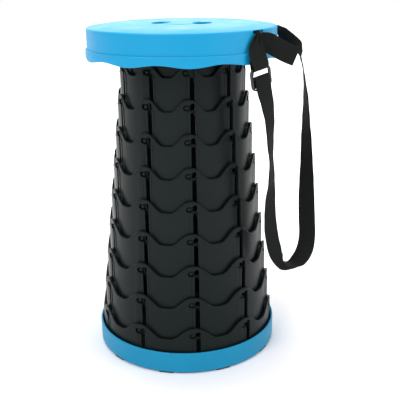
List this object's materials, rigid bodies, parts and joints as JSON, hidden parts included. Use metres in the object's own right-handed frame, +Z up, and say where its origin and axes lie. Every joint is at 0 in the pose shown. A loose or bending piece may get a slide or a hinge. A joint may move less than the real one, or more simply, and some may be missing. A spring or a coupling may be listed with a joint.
{
  "type": "collapsible telescopic stool",
  "caption": "Round stool whose seat stands on nested wavy-rimmed rings that slide into each other, with a base tray, finger holes in the seat and a webbing carry strap.",
  "frame": {"origin": "on the floor under the middle of the stool", "axes": "+Z up, front towards -Y through a line of slots, +X to the right"},
  "size_m": [0.2995, 0.2532, 0.446],
  "materials": {
    "seat_blue": "satin moulded",
    "base_blue": "satin moulded",
    "ring_black": "satin moulded",
    "buckle_black": "satin moulded",
    "foot_rubber": "matt",
    "strap_webbing": "woven webbing",
    "screw_steel": "zinc plated"
  },
  "bodies": {
    "base": {"base_tray": "base_blue", "base_plate": "ring_black", "rubber_foot_1": "foot_rubber", "rubber_foot_2": "foot_rubber", "rubber_foot_3": "foot_rubber", "rubber_foot_4": "foot_rubber", "rubber_foot_5": "foot_rubber", "rubber_foot_6": "foot_rubber", "rubber_foot_7": "foot_rubber", "rubber_foot_8": "foot_rubber", "rubber_foot_9": "foot_rubber", "rubber_foot_10": "foot_rubber", "tube_ring_1": "ring_black"},
    "stage_2": {"tube_ring_2": "ring_black"},
    "stage_3": {"tube_ring_3": "ring_black"},
    "stage_4": {"tube_ring_4": "ring_black"},
    "stage_5": {"tube_ring_5": "ring_black"},
    "stage_6": {"tube_ring_6": "ring_black"},
    "stage_7": {"tube_ring_7": "ring_black"},
    "stage_8": {"tube_ring_8": "ring_black"},
    "stage_9": {"tube_ring_9": "ring_black"},
    "seat": {"seat_sleeve": "ring_black", "seat_cover": "seat_blue", "seat_rim": "seat_blue", "sleeve_screw_1": "screw_steel", "sleeve_screw_2": "screw_steel", "sleeve_screw_3": "screw_steel", "sleeve_screw_4": "screw_steel", "sleeve_screw_5": "screw_steel", "strap_end_loop": "strap_webbing", "strap_buckle": "buckle_black", "carry_strap": "strap_webbing", "strap_tail": "strap_webbing"}
  },
  "joints": [
    {"name": "ring_2_slide", "type": "slide", "parent": "base", "child": "stage_2", "axis": [0, 0, 1], "range_m": [-0.0388, 0]},
    {"name": "ring_3_slide", "type": "slide", "parent": "stage_2", "child": "stage_3", "axis": [0, 0, 1], "range_m": [-0.0424, 0]},
    {"name": "ring_4_slide", "type": "slide", "parent": "stage_3", "child": "stage_4", "axis": [0, 0, 1], "range_m": [-0.0424, 0]},
    {"name": "ring_5_slide", "type": "slide", "parent": "stage_4", "child": "stage_5", "axis": [0, 0, 1], "range_m": [-0.0424, 0]},
    {"name": "ring_6_slide", "type": "slide", "parent": "stage_5", "child": "stage_6", "axis": [0, 0, 1], "range_m": [-0.0424, 0]},
    {"name": "ring_7_slide", "type": "slide", "parent": "stage_6", "child": "stage_7", "axis": [0, 0, 1], "range_m": [-0.0424, 0]},
    {"name": "ring_8_slide", "type": "slide", "parent": "stage_7", "child": "stage_8", "axis": [0, 0, 1], "range_m": [-0.0424, 0]},
    {"name": "ring_9_slide", "type": "slide", "parent": "stage_8", "child": "stage_9", "axis": [0, 0, 1], "range_m": [-0.0424, 0]},
    {"name": "seat_slide", "type": "slide", "parent": "stage_9", "child": "seat", "axis": [0, 0, 1], "range_m": [-0.036, 0]}
  ],
  "couplings": [
    {"joint": "ring_3_slide", "follows": "ring_2_slide", "ratio": 1.0927},
    {"joint": "ring_4_slide", "follows": "ring_2_slide", "ratio": 1.0927},
    {"joint": "ring_5_slide", "follows": "ring_2_slide", "ratio": 1.0927},
    {"joint": "ring_6_slide", "follows": "ring_2_slide", "ratio": 1.0927},
    {"joint": "ring_7_slide", "follows": "ring_2_slide", "ratio": 1.0927},
    {"joint": "ring_8_slide", "follows": "ring_2_slide", "ratio": 1.0927},
    {"joint": "ring_9_slide", "follows": "ring_2_slide", "ratio": 1.0927},
    {"joint": "seat_slide", "follows": "ring_2_slide", "ratio": 0.9278}
  ]
}
